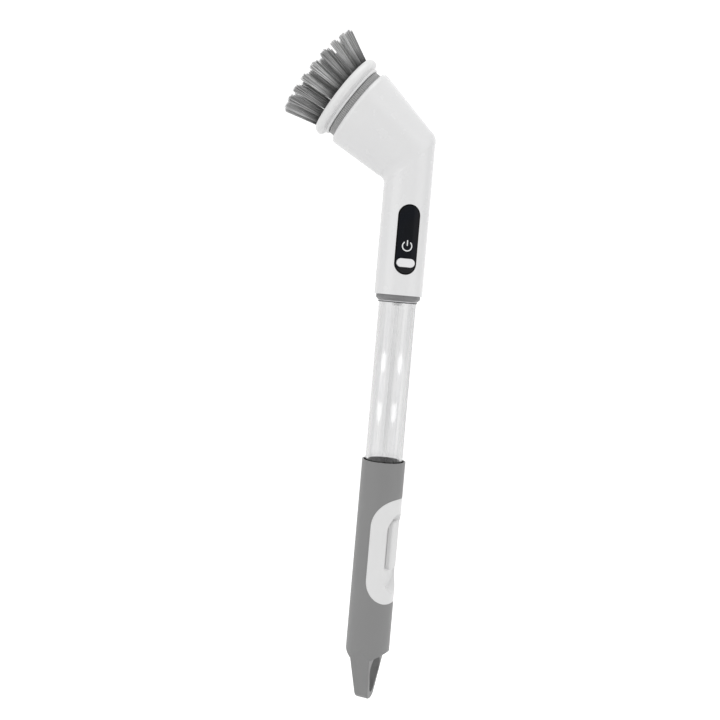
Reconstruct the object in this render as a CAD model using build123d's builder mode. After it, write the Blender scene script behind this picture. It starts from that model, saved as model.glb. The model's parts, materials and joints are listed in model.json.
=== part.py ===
from build123d import *
import math
import os
import random

os.makedirs("parts", exist_ok=True)

# An electric dish wand. The handle stands along Z with its hanging slot at the origin, and the head
# at the top turns towards -X. Lengths are in millimetres and angles in degrees.

# Handle
slot_to_shoulder = 18.2     # from the middle of the hanging slot up to the grip's shoulder
grip_length = 141.4         # from the shoulder to the mouth
grip_radius = 16.3
grip_turn = 66.0            # way the thumb slider faces, turned about the handle from the front
tube_radius = 14.0
tube_wall = 2.0
tube_show = 119.9           # length of clear tube between grip and collar
rod_radius = 2.3
slider_travel = 12.0

# Head
neck_radius = 18.0
neck_length = 109.7         # from the neck's lower end to the crossing of the two axes
housing_wall = 2.4
brush_tilt = 56.0           # from the handle's axis to the brush's axis
mouth_distance = 51.2       # from the crossing to the mouth of the cup
mouth_radius = 32.2
inner_corner_drop = 24.0    # the bend's inner corner lies this far below the crossing
outer_corner_rise = 10.7    # and its outer corner this far above
panel_turn = 9.0            # way the control panel faces, turned about the handle from the front

# Brush
disc_radius = 34.0
disc_face = 66.2            # from the crossing to the brush's face, along the brush's axis
bristle_length = 28.5
spindle_radius = 4.0

# Fits shared by the pieces
running_fit = 0.05
slip_fit = 0.15
seat_gap = 0.1
free_gap = 0.3
overrun = 5.0               # cuts reach this far past the surface they open

# Heights along the handle
grip_mouth = slot_to_shoulder + grip_length
collar_low = grip_mouth + tube_show
flange_height = 4.4
neck_bottom = collar_low + flange_height
elbow_height = neck_bottom + neck_length

# Planes and axes
tilt = math.radians(brush_tilt)
elbow = Vector(0, 0, elbow_height)
brush_way = Vector(-math.sin(tilt), 0, math.cos(tilt))
across_way = Vector(math.cos(tilt), 0, math.sin(tilt))
brush_axis = Axis(elbow, brush_way)
brush_plane = Plane(origin=elbow, x_dir=across_way, z_dir=brush_way)
brush_section = Plane(origin=elbow, x_dir=across_way, z_dir=(0, -1, 0))


def facing(turn, height):
    """A plane through the handle's axis that faces out at a turn from the front, with its y upward."""
    angle = math.radians(turn)
    return Plane(origin=(0, 0, height), x_dir=(math.cos(angle), math.sin(angle), 0),
                 z_dir=(math.sin(angle), -math.cos(angle), 0))


def band(inner, outer, low, high, mode=Mode.ADD):
    """A rectangle in a section that is revolved, between two radii and two distances along the axis."""
    with Locations(((inner + outer) / 2, (low + high) / 2)):
        Rectangle(outer - inner, high - low, mode=mode)


def save(piece, name):
    """Labels a finished piece and writes it under that name."""
    piece.part.label = name
    export_step(piece.part, f"parts/{name}.step")


# Elbow housing: a straight neck and a cup that widens to the mouth, which meet on a mitre plane
mitre_angle = math.atan2(inner_corner_drop + outer_corner_rise, 2 * neck_radius)
mitre_centre = Vector(0, 0, elbow_height + (outer_corner_rise - inner_corner_drop) / 2)
mitre_way = Vector(math.cos(mitre_angle), 0, math.sin(mitre_angle))
mouth_centre = elbow + brush_way * mouth_distance
bend_reach = 6.0            # the bend's rounding reaches this far each side of the mitre plane
bend_share = 0.3
rim_round = 3.2
neck_bore = neck_radius - housing_wall
mouth_wall = 3.8
mouth_bore = mouth_radius - mouth_wall
ledge_width = 1.7
ledge_bore = mouth_bore - ledge_width

cover_low = 48.0            # underside of the drive cover, from the crossing
screw_count = 3
case_inset = 14.8           # the gear case's radius is this much under the mouth's
lug_offset = 3.6
case_radius = mouth_radius - case_inset
screw_circle = case_radius + lug_offset
screw_radius = 1.25
post_radius = 3.2
post_low = 30.0
post_top = 44.0
rib_thickness = 2.0
shell_skin = 0.8            # the posts' ribs end this far inside the cup's outer face

panel_length = 51.8
panel_width = 16.4
panel_rise = 41.3           # from the neck's lower end to the panel's middle
panel_depth = 1.4
panel_proud = 0.1
window_length = 44.0
window_width = 11.0
button_height = 6.4
button_width = 13.5
button_drop = 17.3          # button centre below the panel's middle
flange_lip = 0.9
panel_height = neck_bottom + panel_rise
front = facing(panel_turn, panel_height)

charge_rise = 16.3          # from the neck's lower end to the charging socket's middle
socket_width = 8.9
socket_height = 3.2
flap_width = 11.6
flap_height = 6.8
flap_thickness = 1.4
flap_foot = 3.0             # height of the rubber foot below the flap
charge_height = neck_bottom + charge_rise
back = facing(panel_turn + 180, charge_height)
flap_seat = neck_radius - flap_thickness - free_gap


def elbow_section(neck, mouth, along):
    """One section of the elbow: its plane and half-axes at a distance from the mitre plane, down the neck
    where the distance is negative and up the cup, where it blends into the mouth's circle, where positive."""
    share = max(along, 0) / (mouth_centre - mitre_centre).length
    centre = mitre_centre + Vector(0, 0, min(along, 0)) + (mouth_centre - mitre_centre) * share
    major = mitre_way * (neck / math.cos(mitre_angle)) * (1 - share) + across_way * (mouth * share)
    minor = neck * (1 - share) + mouth * share
    plane = Plane(origin=centre, x_dir=major.normalized(), z_dir=major.cross(Vector(0, 1, 0)).normalized())
    return plane, major.length, minor


def elbow_form(neck, mouth):
    """The solid elbow: a straight neck, a soft bend across the mitre plane and a ruled loft to the mouth."""
    with BuildPart() as form:
        with BuildSketch(Plane.XY.offset(neck_bottom)):
            Circle(neck)
        extrude(amount=neck_length + outer_corner_rise)
        split(bisect_by=elbow_section(neck, mouth, -bend_reach)[0], keep=Keep.BOTTOM)
        for along in (-bend_reach, -bend_reach * bend_share, bend_reach * bend_share, bend_reach):
            plane, major, minor = elbow_section(neck, mouth, along)
            with BuildSketch(plane):
                Ellipse(major, minor)
        loft()
        with BuildSketch(plane):
            Ellipse(major, minor)
        with BuildSketch(brush_plane.offset(mouth_distance)):
            Circle(mouth)
        loft(ruled=True)
    return form.part


outer_form = elbow_form(neck_radius, mouth_radius)
inner_form = elbow_form(neck_bore, ledge_bore)

# screw posts, each with a rib to the wall of the cup
with BuildPart() as posts:
    with BuildSketch(brush_plane.offset(post_low)):
        with PolarLocations(screw_circle, screw_count):
            Circle(post_radius)
        with PolarLocations((screw_circle + mouth_bore) / 2, screw_count):
            Rectangle(mouth_bore - screw_circle, rib_thickness)
        with PolarLocations(screw_circle, screw_count):
            Circle(screw_radius + running_fit, mode=Mode.SUBTRACT)
    extrude(amount=post_top - post_low)
    add(elbow_form(neck_radius - shell_skin, mouth_radius - shell_skin), mode=Mode.INTERSECT)

with BuildPart() as elbow_housing:
    add(outer_form)
    rim = elbow_housing.edges().filter_by(GeomType.CIRCLE).sort_by_distance(mouth_centre)[0]
    fillet(rim, radius=rim_round)
    add(inner_form, mode=Mode.SUBTRACT)
    add(posts.part)
    with BuildSketch(brush_plane.offset(cover_low)):
        Circle(mouth_bore)
    extrude(amount=mouth_distance - cover_low + overrun, mode=Mode.SUBTRACT)
    # seat of the panel on the curved wall, and the window behind it
    with BuildSketch(front):
        SlotOverall(panel_length + 2 * seat_gap, panel_width + 2 * seat_gap, rotation=90)
    extrude(amount=neck_radius + overrun, mode=Mode.SUBTRACT)
    with BuildSketch(Plane.XY.offset(panel_height - panel_length / 2 - overrun)):
        Circle(neck_radius - panel_depth - seat_gap)
        Circle(neck_bore, mode=Mode.SUBTRACT)
    extrude(amount=panel_length + 2 * overrun)
    with BuildSketch(front):
        SlotOverall(window_length, window_width, rotation=90)
        with Locations((0, -button_drop)):
            SlotOverall(button_width + 2 * flange_lip, button_height + 2 * flange_lip)
    extrude(amount=neck_radius, mode=Mode.SUBTRACT)
    # recess of the charging flap and the opening over its socket
    with BuildSketch(back.offset(flap_seat)):
        with Locations((0, -flap_foot / 2)):
            Rectangle(flap_width, flap_height + flap_foot)
    extrude(amount=overrun, mode=Mode.SUBTRACT)
    with BuildSketch(back):
        SlotOverall(socket_width + 2 * free_gap, socket_height + 2 * free_gap)
    extrude(amount=neck_radius, mode=Mode.SUBTRACT)
save(elbow_housing, "elbow_housing")

# Drive cover: closes the mouth, carries the spindle's bush and seal, and has the outlet for the soap
cover_floor = 52.4
cover_rim = 50.8
boss_wall = 2.05
boss_top = 56.0
boss_round = 0.7
hub_radius = 9.6
bush_radius = 6.4
bush_length = 5.0
hose_radius = 2.2
hose_bore = 1.3
outlet_inset = 0.5
outlet_circle = screw_circle - outlet_inset
outlet_radius = 0.9
nipple_length = 4.6
gasket_radius = 0.8
gasket_circle = mouth_bore - seat_gap - gasket_radius
screw_head = 2.3
screw_head_height = 1.5
screw_length = 14.0
boss_radius = mouth_bore - free_gap
groove_radius = boss_radius - boss_wall
rib_count = 110             # fine grooves round the boss
rib_groove = 0.4
spindle_hole = spindle_radius + running_fit

with BuildPart() as drive_cover:
    with BuildSketch(brush_section):
        band(0, mouth_bore - seat_gap, cover_low + seat_gap, cover_rim)
        band(0, boss_radius, cover_low + seat_gap, boss_top)
        band(hub_radius, groove_radius, cover_floor, boss_top, mode=Mode.SUBTRACT)
        band(0, bush_radius + running_fit, cover_low, boss_top, mode=Mode.SUBTRACT)
    revolve(axis=brush_axis)
    fillet(drive_cover.edges().filter_by(GeomType.CIRCLE).filter_by(
        lambda edge: abs(edge.radius - boss_radius) < seat_gap).sort_by(brush_axis)[-1], radius=boss_round)
    with BuildSketch(brush_plane.offset(cover_rim)):
        with PolarLocations(boss_radius, rib_count):
            RegularPolygon(rib_groove, side_count=4)
    extrude(amount=boss_top - boss_round - cover_rim, mode=Mode.SUBTRACT)
    # groove of the gasket in the rim
    with BuildSketch(brush_section):
        with Locations((gasket_circle, (cover_low + cover_rim) / 2)):
            Circle(gasket_radius + running_fit)
            with Locations((gasket_radius, 0)):
                Rectangle(2 * gasket_radius, gasket_radius * 2 + 2 * running_fit)
    revolve(axis=brush_axis, mode=Mode.SUBTRACT)
    with BuildSketch(brush_plane.offset(cover_low)):
        with PolarLocations(screw_circle, screw_count):
            Circle(screw_radius + slip_fit)
    extrude(amount=boss_top - cover_low, mode=Mode.SUBTRACT)
    # nipple and outlet of the soap, on the side away from the screws
    with BuildSketch(brush_plane.offset(cover_low + seat_gap - nipple_length)):
        with Locations((-outlet_circle, 0)):
            Circle(hose_bore - running_fit)
    extrude(amount=nipple_length)
    with BuildSketch(brush_plane.offset(cover_low - nipple_length)):
        with Locations((-outlet_circle, 0)):
            Circle(outlet_radius)
    extrude(amount=nipple_length + boss_top - cover_low, mode=Mode.SUBTRACT)
save(drive_cover, "drive_cover")

with BuildPart() as cover_gasket:
    with BuildSketch(brush_section):
        with Locations((gasket_circle, (cover_low + cover_rim) / 2)):
            Circle(gasket_radius)
    revolve(axis=brush_axis)
save(cover_gasket, "cover_gasket")

with BuildPart() as cover_screws:
    with BuildSketch(brush_plane.offset(cover_floor + screw_head_height - screw_length)):
        with PolarLocations(screw_circle, screw_count):
            Circle(screw_radius)
    extrude(amount=screw_length)
    with BuildSketch(brush_plane.offset(cover_floor)):
        with PolarLocations(screw_circle, screw_count):
            Circle(screw_head)
    extrude(amount=screw_head_height)
    with BuildSketch(brush_plane.offset(cover_floor + screw_head_height / 2)):
        with PolarLocations(screw_circle, screw_count):
            RegularPolygon(screw_radius, side_count=6)
    extrude(amount=screw_head_height, mode=Mode.SUBTRACT)
save(cover_screws, "cover_screws")

with BuildPart() as spindle_bush:
    with BuildSketch(brush_section):
        band(spindle_hole, bush_radius, cover_low + seat_gap, cover_low + bush_length)
    revolve(axis=brush_axis)
save(spindle_bush, "spindle_bush")

seal_lip = 1.0
with BuildPart() as shaft_seal:
    with BuildSketch(brush_section):
        band(spindle_hole, bush_radius, cover_low + bush_length + seat_gap, boss_top - seat_gap)
        band(spindle_hole + seal_lip, bush_radius - seal_lip, cover_low + bush_length + seal_lip,
             boss_top, mode=Mode.SUBTRACT)
    revolve(axis=brush_axis)
save(shaft_seal, "shaft_seal")

# Planetary gears: the sun on the motor's shaft, three planets on the spindle's carrier, a fixed ring
module_share = 0.02484      # gear module as a share of the mouth's radius
gear_module = mouth_radius * module_share
sun_teeth = 9
planet_teeth = 15
ring_teeth = sun_teeth + 2 * planet_teeth
pressure_angle = math.radians(25.0)
addendum_share = 0.8
root_share = 1.1
flank_shares = (0.0, 0.35, 0.7, 1.0)
tooth_slack = 0.07          # each flank stands back this far from the true tooth
planet_count = 3
planet_circle = gear_module * (sun_teeth + planet_teeth) / 2
planet_pin = 1.5
carrier_rim = 2.1
carrier_radius = planet_circle + planet_pin + carrier_rim
gear_low = 39.2
gear_high = 45.6
gear_face_gap = 0.2
case_low = 38.4
carrier_thickness = 1.6
carrier_low = gear_high + gear_face_gap
carrier_high = carrier_low + carrier_thickness


def tooth_half_angle(teeth, radius):
    """Half of the angle that an involute tooth takes up at a radius, in radians."""
    pitch = gear_module * teeth / 2
    base = pitch * math.cos(pressure_angle)
    here = math.acos(base / max(radius, base))
    return (math.pi / (2 * teeth) + math.tan(pressure_angle) - pressure_angle - math.tan(here) + here)


def gear_points(teeth, root, tip, slack, turn):
    """Corners round a toothed outline: up one flank and down the other of each tooth, from root to tip."""
    points = []
    radii = [root + (tip - root) * share for share in flank_shares]
    for tooth in range(teeth):
        middle = 2 * math.pi * tooth / teeth + turn
        flank = [(radius, tooth_half_angle(teeth, radius) - slack / radius) for radius in radii]
        for radius, half in flank:
            points.append((radius * math.cos(middle - half), radius * math.sin(middle - half)))
        for radius, half in reversed(flank):
            points.append((radius * math.cos(middle + half), radius * math.sin(middle + half)))
    return points


def outer_gear(teeth, turn):
    """Outline of a gear with outward teeth."""
    pitch = gear_module * teeth / 2
    return gear_points(teeth, pitch - root_share * gear_module, pitch + addendum_share * gear_module,
                       tooth_slack, turn)


ring_pitch = gear_module * ring_teeth / 2
ring_points = gear_points(ring_teeth, ring_pitch - addendum_share * gear_module,
                          ring_pitch + root_share * gear_module, -tooth_slack, 0)

lug_radius = post_radius
with BuildPart() as gear_case:
    with BuildSketch(brush_plane.offset(case_low)):
        Circle(case_radius)
        Polygon(*ring_points, align=None, mode=Mode.SUBTRACT)
    extrude(amount=carrier_low - case_low)
    with BuildSketch(brush_plane.offset(carrier_low)):
        Circle(case_radius)
        Circle(carrier_radius + free_gap, mode=Mode.SUBTRACT)
    extrude(amount=cover_low - carrier_low)
    with BuildSketch(brush_plane.offset(post_top + seat_gap)):
        with PolarLocations(screw_circle, screw_count):
            Circle(lug_radius)
        with PolarLocations((screw_circle + case_radius) / 2, screw_count):
            Rectangle(screw_circle - case_radius + 2 * rib_thickness, 2 * lug_radius)
        Circle(case_radius, mode=Mode.SUBTRACT)
        with PolarLocations(screw_circle, screw_count):
            Circle(screw_radius + slip_fit, mode=Mode.SUBTRACT)
    extrude(amount=cover_low - post_top - seat_gap)
save(gear_case, "gear_case")

for number in range(planet_count):
    direction = 2 * math.pi * number / planet_count
    with BuildPart() as planet:
        with BuildSketch(brush_plane.offset(gear_low)):
            with Locations((planet_circle * math.cos(direction), planet_circle * math.sin(direction))):
                Polygon(*outer_gear(planet_teeth, direction), align=None)
                Circle(planet_pin + running_fit, mode=Mode.SUBTRACT)
        extrude(amount=gear_high - gear_low)
    save(planet, f"planet_gear_{number + 1}")

drive_flat = 3.3            # half the width across the spindle's drive flats
drive_low = 57.0
drive_high = 63.2
with BuildPart() as spindle:
    with BuildSketch(brush_section):
        band(0, carrier_radius, carrier_low, carrier_high)
        band(0, spindle_radius, carrier_low, drive_low)
    revolve(axis=brush_axis)
    with BuildSketch(brush_plane.offset(gear_low)):
        with PolarLocations(planet_circle, planet_count):
            Circle(planet_pin)
    extrude(amount=carrier_low - gear_low)
    with BuildSketch(brush_plane.offset(drive_low)):
        RegularPolygon(drive_flat, side_count=6, major_radius=False)
    extrude(amount=drive_high - drive_low)
save(spindle, "spindle")

# Motor behind the gears, its can open at the rear for the end cap
motor_inset = 3.4
motor_radius = case_radius - motor_inset
motor_length = 31.0
can_wall = 0.9
plate_thickness = 2.2
motor_face = case_low - plate_thickness
motor_rear = motor_face - motor_length
cap_thickness = 3.0
motor_boss = 3.4
shaft_radius = 1.5
magnet_thickness = 2.6
magnet_gap = 40.0           # angle left open between the two magnets, on each side
motor_screw_inset = 5.5
motor_screw_circle = motor_radius - motor_screw_inset
motor_screw_radius = 1.0
motor_screw_head = 1.9

with BuildPart() as motor_plate:
    with BuildSketch(brush_plane.offset(motor_face)):
        Circle(case_radius)
        Circle(motor_boss + seat_gap, mode=Mode.SUBTRACT)
        with PolarLocations(motor_screw_circle, 2):
            Circle(motor_screw_radius + slip_fit, mode=Mode.SUBTRACT)
    extrude(amount=plate_thickness)
    with BuildSketch(brush_plane.offset(case_low - plate_thickness / 2)):
        with PolarLocations(motor_screw_circle, 2):
            Circle(motor_screw_head + slip_fit)
    extrude(amount=plate_thickness, mode=Mode.SUBTRACT)
save(motor_plate, "motor_plate")

with BuildPart() as motor_can:
    with BuildSketch(brush_section):
        band(0, motor_radius, motor_rear, motor_face)
        band(0, motor_boss, motor_face, case_low)
        band(0, motor_radius - can_wall, motor_rear, motor_face - 2 * can_wall, mode=Mode.SUBTRACT)
        band(0, shaft_radius + running_fit, motor_rear, case_low, mode=Mode.SUBTRACT)
    revolve(axis=brush_axis)
    with BuildSketch(brush_plane.offset(motor_face - 2 * can_wall)):
        with PolarLocations(motor_screw_circle, 2):
            Circle(motor_screw_radius + running_fit)
    extrude(amount=2 * can_wall, mode=Mode.SUBTRACT)
save(motor_can, "motor_can")

with BuildPart() as motor_screws:
    with BuildSketch(brush_plane.offset(motor_face - 2 * can_wall)):
        with PolarLocations(motor_screw_circle, 2):
            Circle(motor_screw_radius)
    extrude(amount=case_low - motor_face + 2 * can_wall - seat_gap)
    with BuildSketch(brush_plane.offset(case_low - plate_thickness / 2)):
        with PolarLocations(motor_screw_circle, 2):
            Circle(motor_screw_head)
    extrude(amount=plate_thickness / 2 - seat_gap)
save(motor_screws, "motor_screws")

with BuildPart() as motor_magnets:
    with BuildSketch(brush_plane.offset(motor_rear + cap_thickness + can_wall)):
        Circle(motor_radius - can_wall - seat_gap)
        Circle(motor_radius - can_wall - magnet_thickness, mode=Mode.SUBTRACT)
        Rectangle(2 * motor_radius, 2 * motor_radius * math.sin(math.radians(magnet_gap / 2)),
                  mode=Mode.SUBTRACT)
    extrude(amount=motor_length - cap_thickness - 4 * can_wall)
save(motor_magnets, "motor_magnets")

with BuildPart() as motor_endcap:
    with BuildSketch(brush_section):
        band(0, motor_radius - can_wall - seat_gap, motor_rear, motor_rear + cap_thickness)
        band(0, motor_boss, motor_rear - can_wall, motor_rear + cap_thickness)
        band(0, shaft_radius + running_fit, motor_rear, motor_rear + cap_thickness, mode=Mode.SUBTRACT)
    revolve(axis=brush_axis)
save(motor_endcap, "motor_endcap")

air_gap = 1.1
armature_radius = motor_radius - can_wall - magnet_thickness - air_gap
armature_low = motor_rear + cap_thickness + 3 * can_wall
armature_high = motor_face - 5 * can_wall
commutator_radius = 4.2
with BuildPart() as rotor:
    with BuildSketch(brush_section):
        band(0, shaft_radius, motor_rear + can_wall, gear_low)
        band(0, commutator_radius, armature_low - can_wall, armature_low)
        band(0, armature_radius, armature_low, armature_high)
    revolve(axis=brush_axis)
    with BuildSketch(brush_plane.offset(gear_low)):
        Polygon(*outer_gear(sun_teeth, 0), align=None)
    extrude(amount=gear_high - gear_low)
save(rotor, "rotor")

# Brush head: a beaded disc, hollow behind, that pushes onto the spindle, and its tufts
disc_low = boss_top + free_gap
slice_inset = 3.6
slice_radius = disc_radius - slice_inset
slice_thickness = 1.0
disc_plate = 3.4
skirt_inset = 7.6
skirt_inner = disc_radius - skirt_inset
disc_hub = 8.2
disc_spokes = 6
drain_turn = 30.0
spoke_thickness = 1.6
drain_share = 0.515         # circle of the soap holes, as a share of the disc's radius
drain_radius = 1.4
bead_points = (             # distance in from the disc's radius, and down from its face
    (2.6, 0.0),
    (1.1, 1.3),
    (0.1, 3.9),
    (0.1, 6.0),
    (1.6, 7.7),
    (4.4, 8.5),
)
foot_points = (             # a smaller second bead below the groove
    (4.2, 9.3),
    (5.6, 9.9),
)

with BuildPart() as brush_disc:
    with BuildSketch(brush_section):
        bead_line = [(disc_radius - inward, disc_face - down) for inward, down in bead_points]
        foot_line = [(disc_radius - inward, disc_face - down) for inward, down in foot_points]
        with BuildLine():
            Spline(bead_line)
            ThreePointArc(bead_line[-1], *foot_line)
            Polyline(foot_line[-1], (skirt_inner, foot_line[-1][1]),
                     (skirt_inner, disc_face - disc_plate - slice_thickness),
                     (0, disc_face - disc_plate - slice_thickness), (0, disc_face - slice_thickness),
                     (slice_radius + seat_gap, disc_face - slice_thickness),
                     (slice_radius + seat_gap, disc_face), bead_line[0])
        make_face()
        band(0, disc_hub, disc_low, disc_face - slice_thickness)
    revolve(axis=brush_axis)
    with BuildSketch(brush_plane.offset(drive_low)):
        with PolarLocations((disc_hub + skirt_inner) / 2, disc_spokes):
            Rectangle(skirt_inner - disc_hub + spoke_thickness, spoke_thickness)
    extrude(amount=disc_face - disc_plate - drive_low)
    with BuildSketch(brush_plane.offset(disc_low)):
        Circle(spindle_radius + free_gap)
    extrude(amount=drive_low - disc_low + free_gap, mode=Mode.SUBTRACT)
    with BuildSketch(brush_plane.offset(drive_low)):
        RegularPolygon(drive_flat + running_fit, side_count=6, major_radius=False)
    extrude(amount=drive_high - drive_low + free_gap, mode=Mode.SUBTRACT)
    with BuildSketch(brush_plane.offset(disc_face - disc_plate - overrun)):
        with PolarLocations(disc_radius * drain_share, disc_spokes, start_angle=drain_turn):
            Circle(drain_radius)
    extrude(amount=disc_plate + 2 * overrun, mode=Mode.SUBTRACT)
save(brush_disc, "brush_disc")

strand_radius = 0.5
strand_length = bristle_length - slice_thickness / 2
tuft_ring = 1.45
tuft_strands = 8
row_shares = ((0.83, 20), (0.624, 14), (0.406, 9), (0.176, 3))   # radius as a share of the disc's, tufts
lean_rate = 0.0078          # the tufts lean outward by this much for each millimetre from the centre
upper_lean_rate = 0.015     # and by this much on the upper side, where they are splayed
spread_rate = 0.040         # and the strands of a tuft spread by this much for each millimetre
length_spread = 1.2
random.seed(4)


def strand(x, y, tuft_x, tuft_y, length):
    """One bristle: a triangle set in the slice and carried along its lean to its tip."""
    across_rate = upper_lean_rate if tuft_x > 0 else lean_rate
    lean = (brush_plane.x_dir * (tuft_x * across_rate + (x - tuft_x) * spread_rate)
            + brush_plane.y_dir * (tuft_y * lean_rate + (y - tuft_y) * spread_rate) + brush_way)
    foot = brush_plane.origin + (brush_plane.x_dir * x + brush_plane.y_dir * y
                                 + brush_way * (disc_face - slice_thickness / 2))
    face = Plane(origin=foot, x_dir=brush_plane.y_dir, z_dir=brush_way) * RegularPolygon(strand_radius, 3)
    return extrude(face, amount=length, dir=lean)


strands = []
for row_share, row_count in row_shares:
    row_radius = disc_radius * row_share
    for place in range(row_count):
        around = 2 * math.pi * (place + row_share) / row_count
        tuft_x = row_radius * math.cos(around)
        tuft_y = row_radius * math.sin(around)
        strands.append(strand(tuft_x, tuft_y, tuft_x, tuft_y, strand_length))
        for place_in_tuft in range(tuft_strands):
            angle = 2 * math.pi * place_in_tuft / tuft_strands
            length = strand_length - random.random() * length_spread
            strands.append(strand(tuft_x + tuft_ring * math.cos(angle), tuft_y + tuft_ring * math.sin(angle),
                                  tuft_x, tuft_y, length))
print("strands", len(strands))

with BuildPart() as bristles:
    with BuildSketch(brush_plane.offset(disc_face - slice_thickness + seat_gap)):
        Circle(slice_radius)
        with PolarLocations(disc_radius * drain_share, disc_spokes, start_angle=drain_turn):
            Circle(drain_radius, mode=Mode.SUBTRACT)
    extrude(amount=slice_thickness - seat_gap)
    add(strands)
save(bristles, "bristles")

# Hose: from the tube's cap up beside the cell and round into the cup, to the nipple behind the cover
hose_x = -9.6
hose_bend = 20.0
tube_insertion = 10.5       # length of tube inside the collar
tube_top = collar_low + tube_insertion
cap_flange = 2.5
cap_nipple = 5.5
hose_low = tube_top + cap_flange + seat_gap
hose_high = cover_low - seat_gap
hose_corner = (hose_x + outlet_circle * across_way.X) / brush_way.X
outlet_line = elbow - across_way * outlet_circle

with BuildPart() as feed_hose:
    with BuildLine() as hose_path:
        FilletPolyline((hose_x, 0, hose_low), outlet_line + brush_way * hose_corner,
                       outlet_line + brush_way * hose_high, radius=hose_bend)
    with BuildSketch(Plane(origin=(hose_x, 0, hose_low), z_dir=(0, 0, 1))):
        Circle(hose_radius)
        Circle(hose_bore, mode=Mode.SUBTRACT)
    sweep(path=hose_path.line)
save(feed_hose, "feed_hose")

# Cell, its cradle and the circuit board behind the panel
cell_radius = 9.2
cell_length = 65.0
cell_rise = 22.1            # from the neck's lower end to the cell
cell_low = neck_bottom + cell_rise
cell_spot = (3.0, 3.5)
cell_cap = 3.0
cell_cap_height = 1.0
cradle_wall = 1.2
cradle_floor = 2.8
cradle_band = 11.0
cradle_half_width = 13.2
board_length = 60.0
board_low = neck_bottom + charge_rise - socket_height
board_high = board_low + board_length
board_half_width = 11.8
board_thickness = 1.6
board_face = 9.2            # front of the board, out from the handle's axis
cradle_face = board_face - board_thickness - seat_gap
cradle_top = cell_low + cell_length
shelf_half_width = 6.0
shelf_thickness = 1.6
shelf_reach = 14.4
shelf_web = 7.2
socket_depth = 7.2
socket_wall = 0.4
socket_tongue = 0.7

with BuildPart() as battery_cell:
    with BuildSketch(Plane.XY.offset(cell_low)):
        with Locations(cell_spot):
            Circle(cell_radius)
    extrude(amount=cell_length - cell_cap_height)
    fillet(battery_cell.edges().filter_by(GeomType.CIRCLE), radius=cell_cap_height / 2)
    with BuildSketch(Plane.XY.offset(cell_low + cell_length - cell_cap_height)):
        with Locations(cell_spot):
            Circle(cell_cap)
    extrude(amount=cell_cap_height)
save(battery_cell, "battery_cell")

with BuildPart() as cell_cradle:
    for low in (cell_low - cradle_floor, cradle_top - 2 * cradle_band):
        with BuildSketch(Plane.XY.offset(low)):
            with Locations(cell_spot):
                Circle(cell_radius + slip_fit + cradle_wall)
        extrude(amount=cradle_floor + cradle_band)
    with BuildSketch(facing(panel_turn, (cell_low - cradle_floor + cradle_top) / 2).offset(cradle_face)):
        Rectangle(2 * cradle_half_width, cradle_top - cell_low + cradle_floor)
    extrude(amount=-cradle_wall)
    with BuildSketch(Plane.XY.offset(cell_low - seat_gap)):
        with Locations(cell_spot):
            Circle(cell_radius + slip_fit)
    extrude(amount=cell_length + overrun, mode=Mode.SUBTRACT)
    # shelf under the charging socket
    with BuildSketch(back.offset(shelf_web)):
        with Locations((0, (cell_low - charge_height - cradle_floor - socket_height / 2 - shelf_thickness) / 2)):
            Rectangle(2 * shelf_half_width, cell_low - cradle_floor - charge_height + socket_height / 2
                      + shelf_thickness)
    extrude(amount=cradle_wall)
    with BuildSketch(back.offset(shelf_web)):
        with Locations((0, -socket_height / 2 - seat_gap - shelf_thickness / 2)):
            Rectangle(2 * shelf_half_width, shelf_thickness)
    extrude(amount=shelf_reach - shelf_web)
save(cell_cradle, "cell_cradle")

with BuildPart() as circuit_board:
    with BuildSketch(facing(panel_turn, (board_low + board_high) / 2).offset(board_face)):
        RectangleRounded(2 * board_half_width, board_high - board_low, socket_height / 2)
    extrude(amount=-board_thickness)
save(circuit_board, "circuit_board")

switch_size = 6.0
switch_height = 2.0
plunger_radius = 1.6
plunger_height = 0.6
button_height_z = panel_height - button_drop
switch_face = board_face + switch_height + plunger_height
with BuildPart() as tactile_switch:
    with BuildSketch(facing(panel_turn, button_height_z).offset(board_face)):
        Rectangle(switch_size, switch_size)
    extrude(amount=switch_height)
    with BuildSketch(facing(panel_turn, button_height_z).offset(board_face)):
        Circle(plunger_radius)
    extrude(amount=switch_height + plunger_height)
save(tactile_switch, "tactile_switch")

light_width = 1.6
light_height = 0.8
light_pitch = 4.0
icon_drop = 4.7             # icon centre below the panel's middle
with BuildPart() as status_lights:
    with BuildSketch(facing(panel_turn, panel_height - icon_drop).offset(board_face)):
        with GridLocations(light_pitch, light_pitch, 1, 3):
            Rectangle(light_width, light_width)
    extrude(amount=light_height)
save(status_lights, "status_lights")

# Control panel and its button
with BuildPart() as control_panel:
    with BuildSketch(front):
        SlotOverall(panel_length, panel_width, rotation=90)
    extrude(amount=neck_radius + overrun)
    with BuildSketch(Plane.XY.offset(panel_height - panel_length)):
        Circle(neck_radius + panel_proud)
    extrude(amount=2 * panel_length, mode=Mode.INTERSECT)
    with BuildSketch(Plane.XY.offset(panel_height - panel_length)):
        Circle(neck_radius - panel_depth)
    extrude(amount=2 * panel_length, mode=Mode.SUBTRACT)
    with BuildSketch(front):
        with Locations((0, -button_drop)):
            SlotOverall(button_width + 2 * slip_fit, button_height + 2 * slip_fit)
    extrude(amount=neck_radius + overrun, mode=Mode.SUBTRACT)
save(control_panel, "control_panel")

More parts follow.
